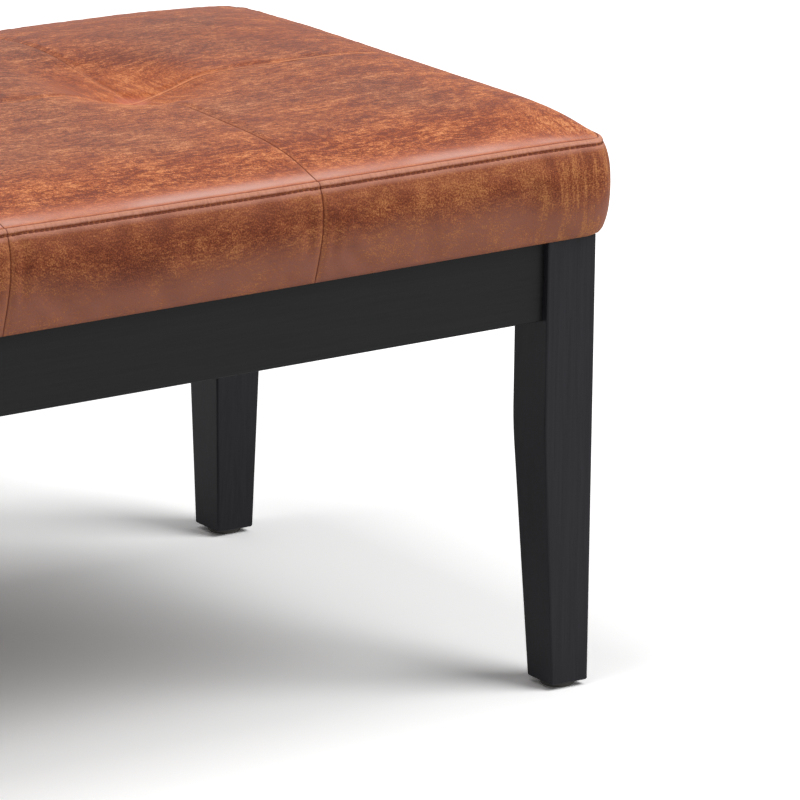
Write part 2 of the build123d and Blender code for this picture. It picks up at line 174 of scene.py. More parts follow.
def grained(tree, run, fineness):
    """The place turned so that its Z is the way of the fibres, and the tone and the pores there."""
    turned = shade(tree, "Mapping", {"Vector": on_object(tree), "Rotation": turn_to_grain[run]}).outputs[0]
    grain = shade(tree, "Group", {"Vector": turned, "Fineness": fineness}, node_tree=wood_grain)
    return turned, grain.outputs["Tone"], grain.outputs["Pores"]


def wood(name, run, dark, light, fineness, pore_depth, roughness, **constants):
    """A wood whose fibres run along one axis of the bench."""
    material, tree = new_material(name, **constants)
    turned, tone, pores = grained(tree, run, fineness)
    broad = clouds(scaled(turned, 12.0, 12.0, 2.0), 1.0, 2.0)
    tone = plus(product(tone, 0.7), broad, 0.3)
    body = blended(product(pores, 0.6), blended(tone, dark, light), darker(dark, 0.45))
    height = figure("SUBTRACT", product(tone, 0.3), pores)
    return surfaced(material, body, stretch(tone, 0.2, 0.8, roughness, roughness + 0.1), height, pore_depth)


def black_lacquer(run, dark, light):
    """Black satin lacquer over open grain."""
    return wood(
        f"black_lacquer_{run}", run, dark, light, 420.0, 0.04 * mm, 0.4,
        Coat_Weight=0.05, Coat_Roughness=0.3, Specular_IOR_Level=0.24,
    )


corners = ["front_left", "front_right", "back_left", "back_right"]
dress(black_lacquer("z", colour(26, 25, 29), colour(39, 38, 44)), *[f"leg_{corner}" for corner in corners])
# The aprons' lacquer is set darker than the legs': partly painted shade from the cushion over them, partly
# their own tone.
dress(black_lacquer("x", colour(15, 15, 17), colour(25, 25, 27)), "apron_front", "apron_back")
dress(black_lacquer("y", colour(15, 15, 17), colour(25, 25, 27)), "apron_left", "apron_right")


# Glides.
# A thin round plastic glide under each foot, moulded dark, held by a countersunk steel nail. The nail and
# all other steel in the bench are zinc plated.
def moulded_plastic():
    """Dark plastic with the fine even texture of its mould."""
    material, tree = new_material("glide_plastic", Specular_IOR_Level=0.4)
    speck = clouds(on_object(tree), 2600.0, 2.0)
    body = blended(speck, colour(70, 69, 66), colour(92, 90, 86))
    return surfaced(material, body, stretch(speck, 0.2, 0.8, 0.45, 0.6), speck, 0.03 * mm)


def zinc_plate():
    """Plated steel with faint drawn lines and uneven brightness."""
    material, tree = new_material("zinc_plate", Metallic=1.0)
    place, tone = on_object(tree), colour(205, 207, 210)
    drawn = clouds(scaled(place, 3000.0, 3000.0, 300.0), 1.0, 2.0)
    shift = plus(product(clouds(place, 160.0, 4.0, 0.6), 0.7), drawn, 0.3)
    body = blended(shift, darker(tone, 0.72), tone)
    return surfaced(material, body, stretch(shift, 0.3, 0.7, 0.28, 0.43), drawn, 0.01 * mm)


zinc = zinc_plate()
dress(moulded_plastic(), *[f"glide_{corner}" for corner in corners])
dress(zinc, "glide_nails")


# Joints and blocks inside the frame.
# Beech dowels in glue join legs, aprons and the two cross rails, and a corner block behind each leg lies on
# both aprons. Bolts with washers and nuts pull the legs in, and screws hold the blocks and the seat.
def beech(run):
    """Planed beech with no finish on it."""
    tones = colour(196, 158, 118), colour(222, 190, 150)
    return wood(f"planed_beech_{run}", run, *tones, 300.0, 0.05 * mm, 0.55, Specular_IOR_Level=0.3)


dress(beech("x"), "dowels", *[f"corner_block_{corner}" for corner in corners])
dress(beech("y"), "cross_rail_left", "cross_rail_right")
dress(zinc, "hanger_bolts", "bolt_washers", "bolt_nuts", "corner_block_screws", "seat_screws")


# Seat board.
# A plywood sheet that carries the cushion, sanded and left bare: thin birch layers, glued with the grain of
# each at a right angle to the next.
ply_layer = 1.35 * mm


def plywood():
    """Sanded birch ply: long grain on the faces, light and dark layers on the sawn edges."""
    material, tree = new_material("birch_ply", Specular_IOR_Level=0.3)
    _, tone, pores = grained(tree, "x", 180.0)
    face = blended(tone, colour(205, 170, 125), colour(226, 198, 158))
    layer = figure("PINGPONG", shade(tree, "SeparateXYZ", {0: on_object(tree)}).outputs["Z"], ply_layer)
    layer = stretch(layer, 0.4 * ply_layer, 0.6 * ply_layer)
    edge = blended(layer, colour(176, 132, 88), colour(218, 186, 142))
    facing = shade(tree, "SeparateXYZ", {0: shade(tree, "NewGeometry").outputs["Normal"]}).outputs["Z"]
    body = blended(stretch(figure("ABSOLUTE", facing), 0.3, 0.8), edge, face)
    return surfaced(material, body, stretch(tone, 0.0, 1.0, 0.6, 0.72), pores, -0.06 * mm)


dress(plywood(), "seat_board")


# Foam pad and batting.
# A block of upholstery foam glued to the board and cut to the seat's crown, with a wadding of polyester over
# it that rounds its edges. Both are drawn down where the four tufts pull.
leg_low, leg_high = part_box("leg_front_right")
face_x, face_y, frame_top = leg_high.x, -leg_low.y, leg_high.z
band_height, overhang, corner_radius = 74.6 * mm, 3.25 * mm, 13 * mm
seam_z = frame_top + band_height
edge_x, edge_y = face_x + overhang, face_y + overhang
columns = 5
tufts = [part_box(f"top_panel_front_{column}")[0].x for column in range(2, columns + 1)]
column_stops, row_stops = [-edge_x, *tufts, edge_x], [-edge_y, 0.0, edge_y]
crown_rise = 15.9 * mm
middle_rise, middle_reach = 5.2 * mm, 280 * mm
front_roll, back_roll, roll_power = 37 * mm, 56 * mm, 1.28
end_roll_front, end_roll_back, end_roll_power = 6 * mm, 68 * mm, 1.5
corner_sag, sag_reach = 9.3 * mm, 70 * mm
front_sag, front_sag_reach = 2.4 * mm, 26 * mm
back_drop, drop_reach = 0.9 * mm, 40 * mm
pit_depth, pit_reach, pit_back_reach, pit_power = 11.6 * mm, 46 * mm, 42 * mm, 3.0
pit_core_depth, pit_core = 3.1 * mm, 15 * mm
foot_out, foot_round = 1.0 * mm, 4 * mm
belly_out, belly_low, belly_flat = 9.0 * mm, 1.45, 0.65
corner_full, corner_full_z, corner_full_half, corner_full_reach = 5.4 * mm, 350 * mm, 27 * mm, 45 * mm
inner_cells_x, inner_cells_y, inner_rows, inner_share = 16, 14, 9, 0.3
board_gap, foam_inset = 0.3 * mm, 8.5 * mm
batting_inset, batting_thick, soft_angle = 4.4 * mm, 3.6 * mm, math.radians(40)


def bell(distance, reach, power=2):
    """1 at no distance, and almost nothing at twice the reach."""
    return np.exp(-((distance / reach) ** power))


def fade(distance, reach):
    """1 at no distance, falling at once and then ever more slowly."""
    return np.exp(-distance / reach)


def beside(distance, start, reach):
    """Nothing at no distance, most a little way off, and then ever less."""
    return fade(distance, reach) * (1 - fade(distance, start))


def swell(x):
    """How much the seat stands higher towards the middle of its length."""
    return middle_rise * bell(x, middle_reach)


def edge_height(x, y):
    """Height of the edge seam, which sags at the corners, most at the two back ones."""
    from_end = edge_x - np.abs(x)
    sag = corner_sag * np.clip(y / edge_y, 0, 1) ** 2 * fade(from_end, sag_reach)
    front = front_sag * (y < 0) * fade(from_end + edge_y - np.abs(y), front_sag_reach)
    return seam_z + swell(x) - sag - front - back_drop * (1 + np.tanh(y / drop_reach))


def pit(x, y):
    """How far the tufts pull the top down: steeply in front of each, in a longer hollow behind it."""
    depth = 0 * x
    for tuft_x in tufts:
        away = np.hypot(x - tuft_x, y)
        behind = np.maximum(y / np.maximum(away, 1e-9), 0) ** 2
        depth = depth + pit_depth * bell(away, pit_reach + pit_back_reach * behind, pit_power)
        depth = depth + pit_core_depth * bell(away, pit_core)
    return depth


def crown(x, y):
    """Height of the seat's top over a point, before the panels puff up."""
    over_front, over_back = np.maximum(edge_y + y, 0), np.maximum(edge_y - y, 0)
    to_back = (over_front / (2 * edge_y)) ** end_roll_power
    end_roll = end_roll_front + (end_roll_back - end_roll_front) * to_back
    along = 1 - fade(edge_x - np.abs(x), end_roll)
    across = (1 - bell(over_front, front_roll, roll_power)) * (1 - bell(over_back, back_roll, roll_power))
    low = edge_height(x, y)
    return low + (seam_z + swell(x) + crown_rise - low) * along * across - pit(x, y)


def rounded(x, y):
    """A point of the square plan moved onto the one with round corners, and its outward direction there."""
    inner_x, inner_y = edge_x - corner_radius, edge_y - corner_radius
    past_x, past_y = np.maximum(np.abs(x) - inner_x, 0), np.maximum(np.abs(y) - inner_y, 0)
    far = np.hypot(past_x, past_y)
    keep = np.where(far > 0, np.maximum(past_x, past_y) / np.maximum(far, 1e-12), 1.0)
    out_x, out_y = np.sign(x) * past_x * keep, np.sign(y) * past_y * keep
    at_x = np.sign(x) * np.minimum(np.abs(x), inner_x) + out_x
    at_y = np.sign(y) * np.minimum(np.abs(y), inner_y) + out_y
    return at_x, at_y, out_x / corner_radius, out_y / corner_radius


# The band's outline from the edge seam down to the frame: how far out, how high, and how far along it.
drop_steps = 1200
drop_share = np.linspace(1, 0, drop_steps + 1)
drop_out = foot_out + (overhang - foot_out) * drop_share
drop_out = drop_out + belly_out * np.maximum(np.sin(np.pi * drop_share**belly_low), 0) ** belly_flat
drop_z = frame_top + band_height * drop_share
drop_run = np.concatenate([[0], np.cumsum(np.hypot(np.diff(drop_out), np.diff(drop_z)))])
band_run = drop_run[-1]


def side_point(x, y, run):
    """A point of the band below the edge point (x, y), at that distance along the leather."""
    at_x, at_y, out_x, out_y = rounded(x, y)
    height_share = (edge_height(x, y) - frame_top) / band_height
    level = frame_top + (np.interp(run, drop_run, drop_z) - frame_top) * height_share
    corner = edge_x - np.abs(x) + edge_y - np.abs(y)
    full = bell(level - corner_full_z, corner_full_half) * bell(corner, corner_full_reach)
    full = full * np.clip((level - frame_top) / foot_round, 0, 1) ** 0.5
    out = np.interp(run, drop_run, drop_out) - overhang + corner_full * full
    return np.stack([at_x + out_x * out, at_y + out_y * out, level], -1)


def lines(stops, cells, share):
    """The places of a row of panels, which lie closer together at both ends of each panel."""
    t = np.linspace(0, 1, cells + 1)
    eased = t - share * np.sin(2 * np.pi * t) / (2 * np.pi)
    runs = [(start + (end - start) * eased)[:-1] for start, end in zip(stops[:-1], stops[1:])]
    return np.concatenate(runs + [[stops[-1]]])


def loop_around(last_x, last_y):
    """The border of a grid of points, once round, front side first."""
    return (
        [(i, 0) for i in range(last_x + 1)] + [(last_x, j) for j in range(1, last_y + 1)]
        + [(i, last_y) for i in range(last_x - 1, -1, -1)] + [(0, j) for j in range(last_y - 1, 0, -1)]
    )


def grid_faces(count_a, count_b):
    """The faces of a grid of points."""
    return [
        (a * count_b + b, (a + 1) * count_b + b, (a + 1) * count_b + b + 1, a * count_b + b + 1)
        for a in range(count_a - 1) for b in range(count_b - 1)
    ]


def cushion_skin(xs, ys, runs):
    """The outside as one net: its points and faces, and the top's border as grid places and as points."""
    grid_x, grid_y = np.meshgrid(xs, ys, indexing="ij")
    at_x, at_y, _, _ = rounded(grid_x, grid_y)
    points = [np.stack([at_x, at_y, crown(grid_x, grid_y)], -1).reshape(-1, 3)]
    faces = grid_faces(len(xs), len(ys))
    border = loop_around(len(xs) - 1, len(ys) - 1)
    upper = edge = [i * len(ys) + j for i, j in border]
    first = len(xs) * len(ys)
    for run in runs[1:]:
        points.append(side_point(*np.array([(xs[i], ys[j]) for i, j in border]).T, run))
        lower = list(range(first, first + len(border)))
        for m in range(len(border)):
            n = (m + 1) % len(border)
            faces.append((upper[m], lower[m], lower[n], upper[n]))
        upper, first = lower, first + len(border)
    return np.concatenate(points), faces, border, edge


def deselect():
    """Nothing selected, so that an operator acts on one piece."""
    for piece in bpy.context.selected_objects:
        piece.select_set(False)


def mesh_piece(name, points, faces):
    """A new object with that mesh, selected and active."""
    mesh = bpy.data.meshes.new(name)
    mesh.from_pydata([tuple(point) for point in points], [], [tuple(face) for face in faces])
    mesh.update()
    piece = bpy.data.objects.new(name, mesh)
    bpy.context.scene.collection.objects.link(piece)
    deselect()
    piece.select_set(True)
    bpy.context.view_layer.objects.active = piece
    return piece


def finish_with(piece, kind, **settings):
    """One modifier, applied."""
    modifier = piece.modifiers.new(kind.lower(), kind)
    for name, value in settings.items():
        setattr(modifier, name, value)
    bpy.context.view_layer.objects.active = piece
    bpy.ops.object.modifier_apply(modifier=modifier.name)


def inner_form(name, node, inset, thickness=None):
    """The cushion's skin set in by inset and cut off level over the board, filled solid or as a wadding."""
    xs, ys = lines(column_stops, inner_cells_x, inner_share), lines(row_stops, inner_cells_y, inner_share)
    points, faces, _, _ = cushion_skin(xs, ys, np.linspace(0, band_run, inner_rows))
    piece = mesh_piece(name, points, faces)
    finish_with(piece, "DISPLACE", strength=-inset, mid_level=0.0)
    bpy.ops.object.mode_set(mode="EDIT")
    bpy.ops.mesh.select_all(action="SELECT")
    level = (0, 0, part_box("seat_board")[1].z + board_gap)
    bpy.ops.mesh.bisect(plane_co=level, plane_no=(0, 0, -1), clear_outer=True, use_fill=thickness is None)
    bpy.ops.object.mode_set(mode="OBJECT")
    if thickness:
        finish_with(piece, "SOLIDIFY", thickness=thickness, offset=-1.0)
    bpy.ops.object.shade_smooth_by_angle(angle=soft_angle)
    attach(piece, "root")
    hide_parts(node)
    return piece


def open_cell_foam():
    """Cream foam, speckled with the mouths of its cells."""
    material, tree = new_material("open_cell_foam", Specular_IOR_Level=0.2, Sheen_Weight=0.1)
    place = on_object(tree)
    cells = shade(tree, "TexVoronoi", {"Vector": place, "Scale": 1300.0}).outputs["Distance"]
    mouth = stretch(cells, 0.15, 0.5)
    tone = blended(clouds(place, 22.0), colour(236, 226, 190), colour(243, 236, 208))
    body = blended(mouth, colour(205, 190, 150), tone)
    return surfaced(material, body, stretch(cells, 0.0, 1.0, 0.85, 0.98), mouth, 0.3 * mm)


def polyester_wadding():
    """White wadding of crossing fibres."""
    material, tree = new_material("polyester_wadding", Specular_IOR_Level=0.25, Sheen_Weight=0.35)
    place = on_object(tree)
    ways = [scaled(place, *way) for way in ((900.0, 90.0, 500.0), (110.0, 800.0, 500.0))]
    fibre = figure("MAXIMUM", *[clouds(way, 1.0, 3.0, 0.6, 1.2) for way in ways])
    body = blended(stretch(fibre, 0.4, 0.75), colour(222, 222, 218), colour(250, 250, 248))
    return surfaced(material, body, stretch(fibre, 0.3, 0.8, 0.8, 0.95), fibre, 0.5 * mm)


foam = inner_form("cut_foam_pad", "foam_pad", foam_inset)
foam.data.materials.append(open_cell_foam())
batting = inner_form("laid_batting", "batting", batting_inset, batting_thick)
batting.data.materials.append(polyester_wadding())


# Leather cover.
# Ten top panels and fourteen band panels of soft distressed hide, sewn together inside out, pulled over the
# wadding and stapled under the board. Each panel puffs up between its seams, and puckers along them.
rows, sides = ("front", "back"), ("front", "right", "back", "left")
leather, hem = 1.2 * mm, 52 * mm
puff_cells, puff_rows, puff_share, puff_power = 24, 11, 0.5, 0.6
puff_most, calm_edge, sewing_frames, close_steps = 1.1 * mm, 60 * mm, 20, 20
fine_cells, fine_share = 100, 0.75
seam_depth, seam_width = 0.5 * mm, 0.9 * mm
edge_depth, edge_width = 0.8 * mm, 0.9 * mm
soft_corner, soft_corner_share = 13 * mm, 0.85
pucker_rise, pucker_size, pucker_start, pucker_reach = 0.3 * mm, 7 * mm, 1.5 * mm, 9 * mm
slow_rise, slow_size = 0.25 * mm, 60 * mm
lump_rise, lump_size = 0.08 * mm, 9 * mm
fold_rise, fold_start, fold_reach, fold_length = 0.9 * mm, 5 * mm, 34 * mm, 60 * mm
fold_count, fold_change = 2.3, 9
lost_seam, lost_start, lost_reach = 1.8 * mm, 3 * mm, 58 * mm
tuft_pull, corner_pull, corner_pull_share, band_pull = 62 * mm, 85 * mm, 0.8, 70 * mm
ridge_rise, ridge_power, pleat_share, pleat_size = 0.9 * mm, 0.7, 0.5, (3 * mm, 9 * mm)
stitch_run, stitch_pitch, thread_lift = 5.6 * mm, 4.6 * mm, 0.15 * mm
stitch_pull, stitch_pull_width, slack_share = 0.5 * mm, 0.9 * mm, 0.45
corner_seam_share, corner_seam_start, turn_run = 0.8, 10 * mm, 3 * mm


def puffed(points, faces, held):
    """The cover blown up a little by cloth simulation, held along its seams: how far each point moves."""
    cover = mesh_piece("cover_in_sewing", points, faces)
    cover.vertex_groups.new(name="sewn").add(sorted(held), 1.0, "REPLACE")
    cloth = cover.modifiers.new("Cloth", "CLOTH")
    settings = {
        "quality": 5, "mass": 0.5, "tension_stiffness": 30, "compression_stiffness": 30,
        "shear_stiffness": 10, "bending_stiffness": 1.5, "use_pressure": True, "uniform_pressure_force": 4,
        "shrink_min": -0.012, "vertex_group_mass": "sewn",
    }
    for name, value in settings.items():
        setattr(cloth.settings, name, value)
    cloth.settings.effector_weights.gravity = 0
    cloth.collision_settings.use_collision = False
    cloth.point_cache.frame_start, cloth.point_cache.frame_end = 1, sewing_frames
    for moment in range(1, sewing_frames + 1):
        bpy.context.scene.frame_set(moment)
    shown = cover.evaluated_get(bpy.context.evaluated_depsgraph_get()).data
    moved = np.empty(len(points) * 3)
    shown.vertices.foreach_get("co", moved)
    move = moved.reshape(-1, 3) - points
    bpy.context.scene.frame_set(1)
    bpy.data.objects.remove(cover)
    far = np.maximum(np.linalg.norm(move, axis=1, keepdims=True), 1e-9)
    return move * puff_most * np.tanh(far / puff_most) / far


def spline_weights(places, count):
    """Weights that read a smooth line through count evenly spaced values at places between them."""
    low = np.clip(np.floor(places).astype(int), 0, count - 2)
    t = places - low
    weights = np.zeros((len(places), count))
    shares = (
        (2 * t**2 - t - t**3) / 2, (2 - 5 * t**2 + 3 * t**3) / 2,
        (t + 4 * t**2 - 3 * t**3) / 2, (t**3 - t**2) / 2,
    )
    for step, share in zip((-1, 0, 1, 2), shares):
        np.add.at(weights, (np.arange(len(places)), np.clip(low + step, 0, count - 1)), share)
    return weights


def place_among(stops, cells, share, places):
    """Where places lie among the lines of a row of panels, counted in lines."""
    close = lines(stops, cells * close_steps, share)
    return np.interp(places, close, np.arange(len(close)) / close_steps)


def rough(points, size, seed):
    """A smooth random height at each point, about -1 to 1, with bumps of that size."""
    shift = Vector((seed * 7.3, seed * 3.1, seed * 5.7))
    flat = points.reshape(-1, 3) / size
    return np.array([noise.noise(Vector(point) + shift) for point in flat]).reshape(points.shape[:-1])


coarse_x, coarse_y = lines(column_stops, puff_cells, puff_share), lines(row_stops, puff_cells, puff_share)
net, net_faces, net_border, net_edge = cushion_skin(coarse_x, coarse_y, np.linspace(0, band_run, puff_rows))
top_count, last_i, last_j = len(coarse_x) * len(coarse_y), len(coarse_x) - 1, len(coarse_y) - 1
seams_i, seam_j = [puff_cells * k for k in range(1, columns)], puff_cells
held = {
    i * len(coarse_y) + j
    for i in range(last_i + 1) for j in range(last_j + 1) if i in seams_i or j == seam_j
}
for ring in range(puff_rows):
    for m, (i, j) in enumerate(net_border):
        corner = i in (0, last_i) and j in (0, last_j)
        if ring in (0, puff_rows - 1) or i in seams_i or j == seam_j or corner:
            held.add(top_count + (ring - 1) * len(net_border) + m if ring else net_edge[m])
lift = puffed(net, net_faces, held)
net_x, net_y = np.meshgrid(coarse_x, coarse_y, indexing="ij")
from_edge = np.minimum(edge_x - np.abs(net_x), edge_y - np.abs(net_y))
top_lift = lift[:top_count].reshape(*net_x.shape, 3) * (1 - bell(from_edge, calm_edge))[..., None]
ring_lift = lift[top_count:].reshape(puff_rows - 1, len(net_border), 3)
border_at = {place: m for m, place in enumerate(net_border)}


def side_places(side, last_x, last_y):
    """The grid places along one side of the top, from left to right or from front to back."""
    if side in rows:
        return [(i, 0 if side == "front" else last_y) for i in range(last_x + 1)]
    return [(0 if side == "left" else last_x, j) for j in range(last_y + 1)]


def side_lift(side):
    """The lift of one side of the band, from the edge down, along its length."""
    places = side_places(side, last_i, last_j)
    rows_down = [[top_lift[i, j] for i, j in places]]
    rows_down += [[ring[border_at[place]] for place in places] for ring in ring_lift]
    return np.array(rows_down).transpose(1, 0, 2)


def across_seam(x):
    """Distance to the nearest seam that crosses the seat."""
    return np.min([np.abs(x - tuft_x) for tuft_x in tufts], axis=0)


def softened(corner):
    """How strongly the edge crease is drawn: less where it turns a corner."""
    return 1 - soft_corner_share * bell(corner, soft_corner)


def sewn_relief(points, seam):
    """What every panel shows: the valley of its seams, puckers beside them and a slow unevenness."""
    pucker = pucker_rise * rough(points, pucker_size, 1) * beside(seam, pucker_start, pucker_reach)
    uneven = slow_rise * rough(points, slow_size, 2) + lump_rise * rough(points, lump_size, 3)
    return pucker + uneven - seam_depth * fade(seam, seam_width)


def unit(ways):
    """Directions at length one."""
    return ways / np.linalg.norm(ways, axis=-1, keepdims=True)


fine_x, fine_y = lines(column_stops, fine_cells, fine_share), lines(row_stops, fine_cells, fine_share)
weights_x = spline_weights(place_among(column_stops, puff_cells, puff_share, fine_x), len(coarse_x))
weights_y = spline_weights(place_among(row_stops, puff_cells, puff_share, fine_y), len(coarse_y))
flat_x, flat_y = np.meshgrid(fine_x, fine_y, indexing="ij")
top_x, top_y, _, _ = rounded(flat_x, flat_y)
top_points = np.stack([top_x, top_y, crown(flat_x, flat_y)], -1)
top_points = top_points + np.einsum("ia,abk,jb->ijk", weights_x, top_lift, weights_y)
step = 0.5 * mm
slope_x = (crown(flat_x + step, flat_y) - crown(flat_x - step, flat_y)) / (2 * step)
slope_y = (crown(flat_x, flat_y + step) - crown(flat_x, flat_y - step)) / (2 * step)
slope_x[0], slope_x[-1] = slope_x[1], slope_x[-2]
slope_y[:, 0], slope_y[:, -1] = slope_y[:, 1], slope_y[:, -2]
top_way = unit(np.stack([-slope_x, -slope_y, np.ones_like(slope_x)], -1))
end_x, end_y = edge_x - np.abs(flat_x), edge_y - np.abs(flat_y)
top_edge, top_corner = np.minimum(end_x, end_y), np.hypot(end_x, end_y)
top_tuft = np.min([np.hypot(flat_x - tuft_x, flat_y) for tuft_x in tufts], axis=0)
drawn_in = lost_seam * bell(top_tuft, lost_reach) * np.clip(flat_y / lost_start, 0, 1)
top_seam = np.minimum(across_seam(flat_x) + drawn_in, np.abs(flat_y))
top_pull = np.maximum(bell(top_tuft, tuft_pull), corner_pull_share * bell(top_corner, corner_pull))
nearest = np.array(tufts)[np.argmin([np.abs(flat_x - tuft_x) for tuft_x in tufts], axis=0)]
around = np.arctan2(flat_y, flat_x - nearest)
turn_x, turn_y = fold_count * np.cos(around), fold_count * np.sin(around)
turns = np.stack([turn_x, turn_y, nearest * fold_change + top_tuft / fold_length], -1)
folds = fold_rise * rough(turns, 1.0, 4) * beside(top_tuft, fold_start, fold_reach)
crease = edge_depth * softened(top_corner) * fade(top_edge, edge_width)
top_final = top_points + top_way * (sewn_relief(top_points, top_seam) + folds - crease)[..., None]


def panel(name, points, cut, marks, node, material):
    """One leather panel from its net of points, with its flat pattern, closed to the leather's thickness."""
    piece = mesh_piece(name, points.reshape(-1, 3), grid_faces(*points.shape[:2]))
    pattern = piece.data.uv_layers.new(name="cut")
    corner_points = np.empty(len(piece.data.loops), int)
    piece.data.loops.foreach_get("vertex_index", corner_points)
    pattern.data.foreach_set("uv", cut.reshape(-1, 2)[corner_points].astype(np.float32).reshape(-1))
    for mark, values in marks.items():
        attribute = piece.data.attributes.new(mark, "FLOAT", "POINT")
        attribute.data.foreach_set("value", values.astype(np.float32).reshape(-1))
    bpy.ops.object.shade_smooth()
    finish_with(piece, "SOLIDIFY", thickness=leather, offset=-1.0, use_rim=True)
    piece.data.materials.append(material)
    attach(piece, "root")
    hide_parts(node)


def hide_fibres():
    """Rubbed hairlines of a distressed hide along the vector's X, and its longer stretch creases."""
    outputs = [("Hairs", "Float"), ("Creases", "Float")]
    group, start, end = effect("hide_fibres", [("Vector", "Vector")], outputs)
    vector = start.outputs["Vector"]
    bend = shade(group, "TexNoise", {"Vector": vector, "Scale": 8.0, "Detail": 2.0}).outputs["Color"]
    inputs = {0: bend, 1: (0.03, 0.03, 0.0), 2: vector}
    bent = shade(group, "VectorMath", inputs, operation="MULTIPLY_ADD").outputs[0]
    long = clouds(scaled(bent, 85.0, 270.0, 1.0), 1.0, 4.0, 0.75)
    turned = shade(group, "Mapping", {"Vector": bent, "Rotation": (0.0, 0.0, 0.45)}).outputs[0]
    short = clouds(scaled(turned, 220.0, 600.0, 1.0), 1.0, 3.0, 0.75)
    hairs = plus(product(long, 0.5), short, 0.5)
    crease = clouds(scaled(bent, 15.0, 125.0, 1.0), 1.0, 3.0, 0.6)
    group.links.new(stretch(hairs, 0.37, 0.63), end.inputs["Hairs"])
    group.links.new(stretch(crease, 0.45, 0.62), end.inputs["Creases"])
    return group


def hide_grain():
    """The hide's own pebbled grain with its fine creases."""
    group, start, end = effect("hide_grain", [("Vector", "Vector")], [("Height", "Float")])
    pebbles = {"Vector": start.outputs["Vector"], "Scale": 620.0}
    cell = shade(group, "TexVoronoi", pebbles, feature="DISTANCE_TO_EDGE").outputs["Distance"]
    fine = clouds(start.outputs["Vector"], 1500.0, 3.0, 0.6)
    group.links.new(plus(fine, stretch(cell, 0.0, 0.22), 0.7), end.inputs["Height"])
    return group


fibre_group, grain_group = hide_fibres(), hide_grain()


def read_mark(tree, name):
    """One of the panel's own marks: a distance in metres, or a share."""
    return shade(tree, "Attribute", attribute_name=name).outputs["Fac"]


def reach(mark, low, high, start=0.0, end=1.0):
    """stretch for a mark, over a range given in millimetres."""
    return stretch(mark, low * mm, high * mm, start, end)


def stripe(mark, low, full, fall, high, most=1.0):
    """A stripe along a mark that starts at low, is full up to fall and ends at high, in millimetres."""
    return product(reach(mark, low, full), reach(mark, fall, high, most, 0.0))


def shifted(value, by, amount):
    """value moved up or down by another value about one half, times amount."""
    return figure("MULTIPLY_ADD", figure("SUBTRACT", by, 0.5), amount, value)


def worn_tone(wear, stops):
    """The hide's colour from its darkest, unworn tone to its lightest, rubbed one."""
    ramp = shade(wear.id_data, "ValToRGB", {0: wear})
    bar = ramp.color_ramp.elements
    while len(bar) < len(stops):
        bar.new(0.5)
    for element, (place, tone) in zip(bar, stops):
        element.position, element.color = place, colour(*tone)
    return ramp.outputs[0]


def layered(body, *layers):
    """body with thinner layers of other colours over it, each given by where it lies and its colour."""
    for share, tone in layers:
        body = blended(share, body, colour(*tone))
    return body


def leather_shader(name):
    """A leather material with its flat pattern, and its hairs, creases, specks and grain as values."""
    material, tree = new_material(name, Specular_IOR_Level=0.2, Coat_Weight=0.03, Coat_Roughness=0.4)
    cut = shade(tree, "UVMap", uv_map="cut").outputs[0]
    across = shade(tree, "Mapping", {"Vector": cut, "Rotation": (0.0, 0.0, math.pi / 2 - 0.12)}).outputs[0]
    along_fibres, across_fibres = [
        shade(tree, "Group", {"Vector": way}, node_tree=fibre_group).outputs for way in (cut, across)
    ]
    grain = shade(tree, "Group", {"Vector": cut}, node_tree=grain_group).outputs["Height"]
    pull = read_mark(tree, "pull")
    ways = {0: stretch(pull, 0.15, 0.75, 0.0, 0.85), 2: along_fibres["Hairs"], 3: across_fibres["Hairs"]}
    hairs = shade(tree, "Mix", ways).outputs[0]
    creases = product(across_fibres["Creases"], stretch(pull, 0.1, 0.9))
    specks = stretch(clouds(cut, 800.0, 4.0, 0.75), 0.37, 0.63)
    return material, tree, cut, hairs, creases, specks, grain


# Painted shade for the creases: a dark line laid along each seam and along the edge crease.
seam_crease_shade = 138, 70, 42


